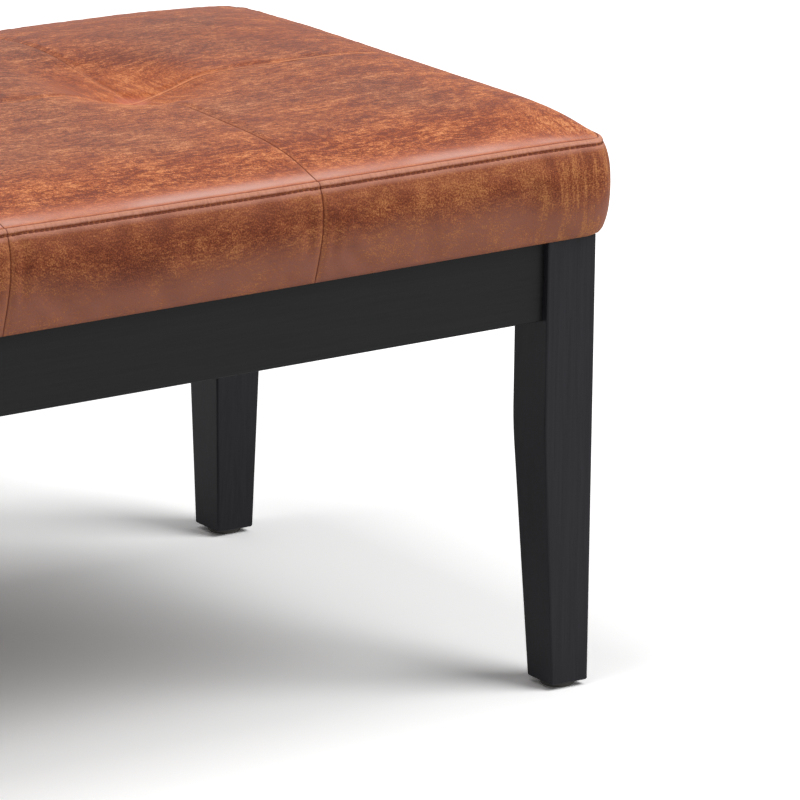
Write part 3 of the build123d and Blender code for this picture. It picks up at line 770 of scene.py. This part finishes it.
def top_leather():
    """The seat's hide: greyer on the flats, rubbed orange at the tufts, with a painted sheen over its front
    roll.
    """
    material, tree, cut, hairs, creases, specks, grain = leather_shader("top_hide")
    names = "seam", "edge", "front", "tuft", "tone", "lip"
    seam, edge, front, tuft, tone, lip = [read_mark(tree, name) for name in names]
    large, sheen_spots = clouds(cut, 7.0, 2.0), clouds(cut, 9.0, 2.0)
    medium = clouds(scaled(cut, 22.0, 48.0, 1.0), 1.0, 5.0, 0.65)
    behind_roll = stripe(edge, 14, 30, 60, 100)
    wear = shifted(shifted(hairs, specks, 0.6), medium, 1.9)
    wear = plus(shifted(0.5, wear, plus(0.96, behind_roll, 0.16)), tone)
    wear = plus(plus(wear, behind_roll, -0.07), creases, 0.48)
    body = worn_tone(wear, [
        (0.0, (118, 50, 24)), (0.35, (154, 74, 38)), (0.65, (186, 103, 58)), (1.0, (217, 143, 94)),
    ])
    # Partly the hide's own mottling, partly painted sheen: the flats turn greyer and bluer in patches, as a
    # grazing sheen would.
    flats = product(
        stretch(large, 0.36, 0.6, 0.25, 1.0), reach(edge, 45, 100),
        reach(tuft, 40, 100, 0.0, 0.5), stretch(wear, 0.35, 0.75, 1.0, 0.7),
    )
    body = blended(flats, body, (0.58, 0.86, 1.55, 1.0), "MULTIPLY")
    # Painted highlight: a pale band just behind the front edge crease, in uneven spots.
    sheen = product(
        reach(edge, 1, 4), reach(front, 5, 15, 0.7, 0.0),
        stretch(sheen_spots, 0.35, 0.6, 0.35, 1.0),
    )
    # Painted highlight: a light stripe on the back row's side of the long seam, where its lip would catch the
    # light.
    far_lip_highlight = product(
        stripe(lip, 0.5, 1.1, 1.1, 3.6, 0.55), stretch(sheen_spots, 0.35, 0.65, 0.3, 1.0),
        reach(edge, 10, 60, 0.4, 1.0),
    )
    body = layered(
        body,
        (reach(tuft, 20, 80, 0.28, 0.0), (190, 96, 42)),
        # Painted sheen: the front roll paled towards salmon.
        (reach(front, 6, 24, 0.6, 0.0), (200, 120, 92)),
        (sheen, (212, 168, 156)),
        (reach(tuft, 6, 18, 0.75, 0.0), (198, 112, 88)),
        # A lighter rim beside each top seam: wear on its raised edge, and in part a painted highlight.
        (product(stripe(seam, 0.6, 1.4, 1.4, 4), reach(tuft, 30, 120, 0.3, 0.14)), (220, 148, 108)),
        (far_lip_highlight, (226, 152, 108)),
        # Painted shade in the seam creases and in the edge crease.
        (product(reach(seam, 0.2, 0.9, 0.85, 0.0), reach(tuft, 25, 90, 0.3, 1.0)), seam_crease_shade),
        (reach(edge, 0.3, 1.6, 0.85, 0.0), seam_crease_shade),
    )
    polish = plus(stretch(wear, 0.0, 1.0, 0.5, 0.6), reach(front, 10, 40, -0.12, 0.0))
    height = plus(plus(grain, specks, 0.6), creases, -1.5)
    return surfaced(material, body, polish, height, 0.12 * mm)


def band_leather():
    """The side's hide: speckled and dark in its upper half, smoother and greyer towards the frame."""
    material, tree, cut, hairs, creases, specks, grain = leather_shader("band_hide")
    seam, down = read_mark(tree, "seam"), product(read_mark(tree, "edge"), -1.0)
    medium, large = clouds(cut, 30.0, 5.0, 0.65), clouds(cut, 9.0, 2.0)
    pleats = clouds(scaled(cut, 430.0, 60.0, 1.0), 1.0, 2.0)
    wear = shifted(shifted(specks, hairs, 0.7), medium, 2.3)
    wear = plus(shifted(shifted(0.44, wear, 0.7), large, 0.55), creases, 0.45)
    body = worn_tone(wear, [
        (0.0, (100, 40, 18)), (0.38, (134, 65, 34)), (0.66, (157, 86, 50)), (1.0, (196, 128, 76)),
    ])
    # Painted reflection of the white floor: the band greys and smooths towards the frame, where it turns
    # under.
    low = reach(shifted(down, large, 40 * mm), 30, 62, 0.0, 0.68)
    # Painted sheen: a pale pinkish stripe just below the stitch row.
    under_stitch_sheen = stripe(down, 5.8, 6.8, 6.8, 11, 0.75)
    along_stitches = figure("PINGPONG", shade(tree, "SeparateXYZ", {0: cut}).outputs["X"], stitch_pitch / 2)
    # Painted shade in the stitch row: a dark notch at each stitch, where the puckers shade the thread; the
    # same mask sinks the bump.
    from_row = figure("ABSOLUTE", figure("SUBTRACT", down, stitch_run))
    furrow = product(reach(from_row, 0.4, 1.3, 1.0, 0.0), reach(along_stitches, 0.5, 1.2, 0.25, 0.85))
    body = layered(
        body,
        (product(low, stretch(wear, 0.3, 0.8, 1.0, 0.35)), (168, 111, 93)),
        (reach(down, 8, 28, 0.26, 0.0), (178, 108, 76)),
        (product(under_stitch_sheen, stretch(medium, 0.35, 0.6, 0.65, 1.0)), (207, 143, 121)),
        # Painted highlight on the ridge between the edge seam and the stitch row, broken by its pleats.
        (product(reach(down, 3.4, 4.8, 1.0, 0.0), stretch(pleats, 0.3, 0.6, 0.68, 1.0)), (206, 144, 122)),
        # Painted shade in the edge crease at the top of the band.
        (reach(down, 0.2, 1.0, 0.7, 0.0), seam_crease_shade),
        (furrow, (126, 55, 28)),
        # A lighter rim and a dark line at the band's seams: painted highlight and painted shade.
        (stripe(seam, 0.6, 1.4, 1.4, 4, 0.25), (190, 122, 76)),
        (reach(seam, 0.1, 0.8, 0.75, 0.0), (112, 54, 32)),
    )
    height = plus(plus(grain, specks, 0.8), product(pleats, reach(down, 5, 10, 5.0, 0.0)))
    height = plus(plus(height, furrow, -3.0), creases, -1.5)
    return surfaced(material, body, stretch(wear, 0.0, 1.0, 0.5, 0.62), height, 0.12 * mm)


# Each top panel is cut from another place of the hide and has its own tone. Along the long seam the back
# row's lip is a painted highlight, a light stripe on the far side of the seam. The marks say where a point
# lies on the cushion.
top_hide, band_hide = top_leather(), band_leather()
hide_tones = {"front": (-0.06, -0.02, -0.08, -0.06, -0.11), "back": (-0.12, -0.09, -0.15, -0.16, -0.17)}
hide_start, hide_step = np.array([0.37, 0.21]), (0.9, 0.6)
turned_in, edge_turn, no_lip = 0.4 * mm, 0.9 * mm, 1.0
roll_corner_rise, roll_corner, roll_side = 9 * mm, 45 * mm, 19 * mm
drawn_edge = top_edge + edge_turn * (1 - softened(top_corner))
# front: distance to the front edge, grown at the corners and capped by the other edges, so that the painted
# sheen lies along the front roll only.
front = np.minimum(edge_y + flat_y + roll_corner_rise * bell(top_corner, roll_corner), top_edge + roll_side)
for row_number, row in enumerate(rows):
    row_marks = {
        "seam": np.minimum(top_seam + turned_in * row_number, drawn_edge), "edge": drawn_edge, "front": front,
        "lip": np.abs(flat_y) + no_lip * (row == "front"), "tuft": top_tuft, "pull": top_pull,
    }
    for column in range(columns):
        span = tuple(slice(k * fine_cells, (k + 1) * fine_cells + 1) for k in (column, row_number))
        shift = hide_start + (hide_step[0] * column, hide_step[1] * row_number)
        cut = np.stack([flat_x[span], flat_y[span]], -1) + shift
        marks = {mark: values[span] for mark, values in row_marks.items()}
        marks["tone"] = np.full_like(marks["seam"], hide_tones[row][column])
        name = f"{row}_{column + 1}"
        panel(f"leather_top_{name}", top_final[span], cut, marks, f"top_panel_{name}", top_hide)

ridge_rows, under_rows, low_rows, under_run = 12, 10, 24, 10 * mm
fine_runs = np.concatenate([
    np.linspace(0, stitch_run, ridge_rows + 1), np.linspace(stitch_run, under_run, under_rows + 1)[1:],
    np.linspace(under_run, band_run, low_rows + 1)[1:],
])
weights_run = spline_weights(fine_runs / band_run * (puff_rows - 1), puff_rows)
hem_shares = np.array([0.004, 0.012, 0.03, 0.1, 0.4, 1.0])
band_stitches, band_hide_start, band_hide_step = 174, 3.0, 0.5
stitch_lines = {}


def hem_point(x, y):
    """Where the turned-in hem ends under the board, below an edge point: it is mitred at the corners."""
    last_seam = tufts[-1]
    in_x, in_y = face_x - hem, face_y - hem
    past = np.maximum(np.abs(x) - last_seam, 0) * (in_x - last_seam) / (edge_x - last_seam)
    to_x = np.sign(x) * (np.minimum(np.abs(x), last_seam) + past)
    return np.stack([to_x, y * in_y / edge_y, np.full_like(x, frame_top)], -1)


def under_hem(values):
    """Values of the band carried on, unchanged, over its hem."""
    return np.concatenate([values, np.repeat(values[:, -1:], len(hem_shares), 1)], 1)


def band_side(side):
    """One side of the band: its points, their places on the hide, and their distance to seam and corner."""
    places = side_places(side, len(fine_x) - 1, len(fine_y) - 1)
    x, y = np.array([(fine_x[i], fine_y[j]) for i, j in places]).T
    grid_x, runs = np.meshgrid(x, fine_runs, indexing="ij")
    grid_y, _ = np.meshgrid(y, fine_runs, indexing="ij")
    along, weights = (grid_x, weights_x) if side in rows else (grid_y, weights_y)
    puff = np.einsum("ia,abk,jb->ijk", weights, side_lift(side), weights_run)
    points = side_point(grid_x, grid_y, runs) + puff
    _, _, out_x, out_y = rounded(grid_x, grid_y)
    fall_out = np.gradient(np.interp(fine_runs, drop_run, drop_out), fine_runs)
    fall_z = np.gradient(np.interp(fine_runs, drop_run, drop_z), fine_runs)
    way = unit(np.stack([-out_x * fall_z, -out_y * fall_z, np.broadcast_to(fall_out, out_x.shape)], -1))
    first = np.array([top_way[i, j] for i, j in places])[:, None, :]
    turn = np.clip(1 - runs / turn_run, 0, 1)[..., None] ** 2
    way = unit(way * (1 - turn) + first * turn)
    seam = np.minimum(across_seam(grid_x), np.abs(grid_y))
    corner = (edge_x - np.abs(grid_x)) + (edge_y - np.abs(grid_y))
    relief = sewn_relief(points, seam) - edge_depth * softened(corner) * fade(runs, edge_width)
    relief -= corner_seam_share * seam_depth * fade(corner, seam_width) * (1 - bell(runs, corner_seam_start))
    ridge = ridge_rise * np.sin(np.pi * np.clip(runs / stitch_run, 0, 1)) ** ridge_power
    pleats = rough(np.stack([along / pleat_size[0], runs / pleat_size[1], runs * 0], -1), 1.0, 5)
    tight = 1 - slack_share + slack_share * np.cos(2 * np.pi * along / stitch_pitch)
    relief += ridge * (1 + pleat_share * pleats)
    relief -= stitch_pull * bell(runs - stitch_run, stitch_pull_width) * tight
    relief *= np.clip((band_run - runs) / foot_round, 0, 1)
    points = points + way * relief[..., None]
    stitch_lines[side] = along[:, 0], points[:, ridge_rows] + way[:, ridge_rows] * thread_lift
    bottom = points[:, -1:, :]
    under = bottom + (hem_point(x, y)[:, None, :] - bottom) * hem_shares[None, :, None]
    run = np.concatenate([runs, np.broadcast_to(band_run + hem * hem_shares, (len(x), len(hem_shares)))], 1)
    corner = under_hem(corner)
    seam = np.minimum(under_hem(seam), corner + turned_in)
    return np.concatenate([points, under], 1), under_hem(along), run, seam, corner


for number, side in enumerate(sides):
    points, along, run, seam, corner = band_side(side)
    side_marks = {"seam": np.minimum(seam, run), "edge": -run, "pull": bell(corner, band_pull)}
    for stop, name in enumerate(range(1, columns + 1) if side in rows else rows):
        span = slice(stop * fine_cells, (stop + 1) * fine_cells + 1)
        down_hide = band_hide_start + band_hide_step * number - run[span]
        cut = np.stack([along[span] + band_stitches * stitch_pitch * stop, down_hide], -1)
        marks = {mark: values[span] for mark, values in side_marks.items()}
        net_points = points[span]
        if side in ("front", "right"):
            net_points, cut = net_points[:, ::-1], cut[:, ::-1]
            marks = {mark: values[:, ::-1] for mark, values in marks.items()}
        panel(f"leather_band_{side}_{name}", net_points, cut, marks, f"band_{side}_{name}", band_hide)


# Topstitching.
# One row of waxed thread just under the edge seam, all round the cushion, sewn through the band and the
# seam's turnings in short even stitches.
stitch_length, stitch_thick = 2.9 * mm, 0.7 * mm
stitch_sides, stitch_end_share, thread_angle = 6, 0.3, math.radians(50)


def thread_stitch():
    """One stitch as it lies on the leather: a short round thread with rounded ends."""
    deselect()
    bpy.ops.mesh.primitive_cylinder_add(
        vertices=stitch_sides, radius=stitch_thick / 2, depth=stitch_length, rotation=(0, math.pi / 2, 0)
    )
    piece = bpy.context.active_object
    bpy.ops.object.transform_apply(location=True, rotation=True, scale=True)
    bpy.ops.object.mode_set(mode="EDIT")
    bpy.ops.mesh.select_all(action="SELECT")
    bpy.ops.mesh.bevel(offset=stitch_thick * stitch_end_share, segments=1, affect="EDGES")
    bpy.ops.object.mode_set(mode="OBJECT")
    return piece


def sewn_row():
    """All the stitches as one piece."""
    pattern = thread_stitch()
    shape = np.array([vertex.co for vertex in pattern.data.vertices])
    shape_faces = [tuple(face.vertices) for face in pattern.data.polygons]
    bpy.data.objects.remove(pattern)
    points, faces = [], []
    for side in sides:
        run, path = stitch_lines[side]
        count = int(run[-1] / stitch_pitch)
        middles = (np.arange(-count, count) + 0.5) * stitch_pitch
        at, ahead, behind = [
            np.stack([np.interp(middles + step, run, path[:, k]) for k in range(3)], -1)
            for step in (0, mm, -mm)
        ]
        for place, front, back in zip(at, ahead, behind):
            along = Vector(front - back).normalized()
            across = Vector((0, 0, 1)).cross(along).normalized()
            start = len(points) * len(shape)
            points.append(shape @ np.array(Matrix((along, across, along.cross(across)))) + place)
            faces += [tuple(start + index for index in face) for face in shape_faces]
    return mesh_piece("edge_topstitching", np.concatenate(points), faces)


def waxed_thread(name, tone):
    """Twisted thread, a little shiny with wax."""
    material, tree = new_material(name, Specular_IOR_Level=0.4, Sheen_Weight=0.2)
    twist = clouds(on_object(tree), 1800.0, 2.0)
    body = blended(twist, darker(tone, 0.5), tone)
    return surfaced(material, body, stretch(twist, 0.2, 0.8, 0.45, 0.65), twist, 0.08 * mm)


stitching = sewn_row()
bpy.ops.object.shade_smooth_by_angle(angle=thread_angle)
stitching.data.materials.append(waxed_thread("brown_thread", colour(147, 70, 38)))
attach(stitching, "root")


# Tuft ties.
# Waxed twine that pulls each tuft down through foam and board, tied round a flat steel washer under the
# board. There is no button on it: the cross of the seams hides its end.
dress(waxed_thread("tuft_twine", colour(214, 206, 184)), "tuft_ties")
dress(zinc, "tuft_washers")


# Staples and dust cloth.
# Steel staples hold the cover's hem to the board, and a black spun cloth under it, stapled too, keeps the
# dust out. The cloth hangs a little between the staples and lies flat over the two cross rails.
cloth_low, cloth_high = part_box("dust_cloth")
cloth_size = (cloth_high.x - cloth_low.x, cloth_high.y - cloth_low.y)
cloth_sag, cloth_thick, cloth_cells = 3.0 * mm, 0.5 * mm, (148, 48)
ripple_rise, ripple_size = 0.25 * mm, 50 * mm
rail_low, rail_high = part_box("cross_rail_right")


def spun_cloth():
    """Thin black cloth of pressed fibres with a fine pattern of bonding points."""
    material, tree = new_material("spun_cloth", Specular_IOR_Level=0.2, Sheen_Weight=0.3)
    place = on_object(tree)
    dots = {"Vector": place, "Scale": 700.0, "Randomness": 0.15}
    bonds = shade(tree, "TexVoronoi", dots).outputs["Distance"]
    fibre = clouds(place, 900.0, 4.0, 0.7)
    body = blended(fibre, colour(22, 22, 23), colour(48, 48, 50))
    return surfaced(material, body, stretch(bonds, 0.0, 0.6, 0.7, 0.92), plus(bonds, fibre), 0.1 * mm)


def hung_cloth():
    """The dust cloth under the board."""
    deselect()
    level = (0, 0, (cloth_low.z + cloth_high.z) / 2)
    cells_x, cells_y = cloth_cells
    bpy.ops.mesh.primitive_grid_add(x_subdivisions=cells_x, y_subdivisions=cells_y, size=1.0, location=level)
    piece = bpy.context.active_object
    piece.name = "hung_dust_cloth"
    piece.scale = (*cloth_size, 1.0)
    bpy.ops.object.transform_apply(location=True, rotation=True, scale=True)
    for vertex in piece.data.vertices:
        x, y, _ = vertex.co
        share = 0.0
        # The points on the middle line stay level, which leaves a small crease there.
        if 0 < abs(x) < rail_low.x:
            share = math.cos(abs(x) / rail_low.x * math.pi / 2)
        elif rail_high.x < abs(x) < cloth_high.x:
            share = math.sin((abs(x) - rail_high.x) / (cloth_high.x - rail_high.x) * math.pi)
        ripple = ripple_rise * noise.noise(Vector((x / ripple_size, y / ripple_size, 3.0)))
        vertex.co.z += share * math.cos(math.pi * y / cloth_size[1]) * (ripple - cloth_sag)
    finish_with(piece, "SOLIDIFY", thickness=cloth_thick, offset=0.0)
    bpy.ops.object.shade_smooth()
    return piece


dust_cloth = hung_cloth()
dust_cloth.data.materials.append(spun_cloth())
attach(dust_cloth, "root")
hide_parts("dust_cloth")
dress(zinc, "hem_staples", "dust_cloth_staples")


# Studio.
# A pale seamless floor that reads as white to the camera, an even sky, and two broad soft lamps: the key
# from the front right and a second one overhead.
floor_size, floor_near, floor_far, floor_white, floor_glow = 30.0, 0.9, 5.0, 1.38, 4.6
lamp_aim, key_place, overhead_place = (0.2, 0.0, 0.2), (1.65, -1.45, 2.45), (-0.36, 0.0, 3.15)
key_size, key_watts, overhead_size, overhead_watts = 1.6, 51.0, 1.4, 33.0


def studio_floor():
    """A large flat floor at the bench's feet."""
    deselect()
    bpy.ops.mesh.primitive_plane_add(size=floor_size, location=(0, 0, 0))
    floor = bpy.context.active_object
    floor.name = "studio_floor"
    material, tree = new_material("floor_paint", Roughness=0.9, Specular_IOR_Level=0.1)
    place = on_object(tree)
    pale = blended(clouds(place, 40.0), (0.80, 0.80, 0.80, 1.0), (0.82, 0.82, 0.82, 1.0))
    far = shade(tree, "VectorMath", {0: place}, operation="LENGTH").outputs["Value"]
    ranges = {"Value": far, "From Min": floor_near, "From Max": floor_far}
    ranges |= {"To Min": floor_white, "To Max": floor_glow}
    bright = shade(tree, "MapRange", ranges).outputs[0]
    white = shade(tree, "CombineXYZ", {0: bright, 1: bright, 2: bright}).outputs[0]
    seen = shade(tree, "LightPath").outputs["Is Camera Ray"]
    tree.links.new(blended(seen, pale, white), tree.nodes["Principled BSDF"].inputs["Base Color"])
    floor.data.materials.append(material)


def lamp(name, size, place, watts):
    """A soft square lamp that faces the lamps' common aim."""
    light = bpy.data.lights.new(name, "AREA")
    light.size, light.energy = size, watts
    holder = bpy.data.objects.new(name, light)
    holder.location = place
    holder.rotation_euler = (Vector(lamp_aim) - Vector(place)).to_track_quat("-Z", "Y").to_euler()
    bpy.context.scene.collection.objects.link(holder)


studio_floor()
world = bpy.data.worlds.new("studio_sky")
bpy.context.scene.world = world
world.use_nodes = True
sky = world.node_tree
rays = shade(sky, "LightPath").outputs
seen = figure("MAXIMUM", rays["Is Camera Ray"], rays["Is Glossy Ray"])
seen = figure("MAXIMUM", seen, rays["Is Transmission Ray"])
sky.links.new(stretch(seen, 0.0, 1.0, 0.27, 1.0), sky.nodes["Background"].inputs["Strength"])
sky.nodes["Background"].inputs["Color"].default_value = (1.0, 1.0, 1.0, 1.0)
lamp("key_softbox", key_size, key_place, key_watts)
lamp("overhead_softbox", overhead_size, overhead_place, overhead_watts)
bpy.context.scene.view_settings.view_transform = "Standard"


# Camera.
# A long lens far off, turned to look along the bench from its front left, slightly above it. It stands where
# the straight edges of the legs and aprons say that the photograph was taken.
camera_place = Vector((-3.843, -6.518, 2.502))
yaw, pitch, roll = (math.radians(angle) for angle in (34.46, 16.52, 0.86))
focal_pixels, picture_pixels = 11116.0, 800.0

camera = bpy.data.cameras.new("studio_camera")
camera.sensor_width = 36.0
camera.lens = focal_pixels / picture_pixels * camera.sensor_width
camera.clip_end = 60.0
look = Vector((math.sin(yaw) * math.cos(pitch), math.cos(yaw) * math.cos(pitch), -math.sin(pitch)))
level = Vector((math.cos(yaw), -math.sin(yaw), 0.0))
above = level.cross(look)
right = level * math.cos(roll) + above * math.sin(roll)
above = above * math.cos(roll) - level * math.sin(roll)
holder = bpy.data.objects.new("studio_camera", camera)
turned = Matrix((right, above, -look)).transposed().to_4x4()
holder.matrix_world = Matrix.Translation(camera_place) @ turned
bpy.context.scene.collection.objects.link(holder)
bpy.context.scene.camera = holder
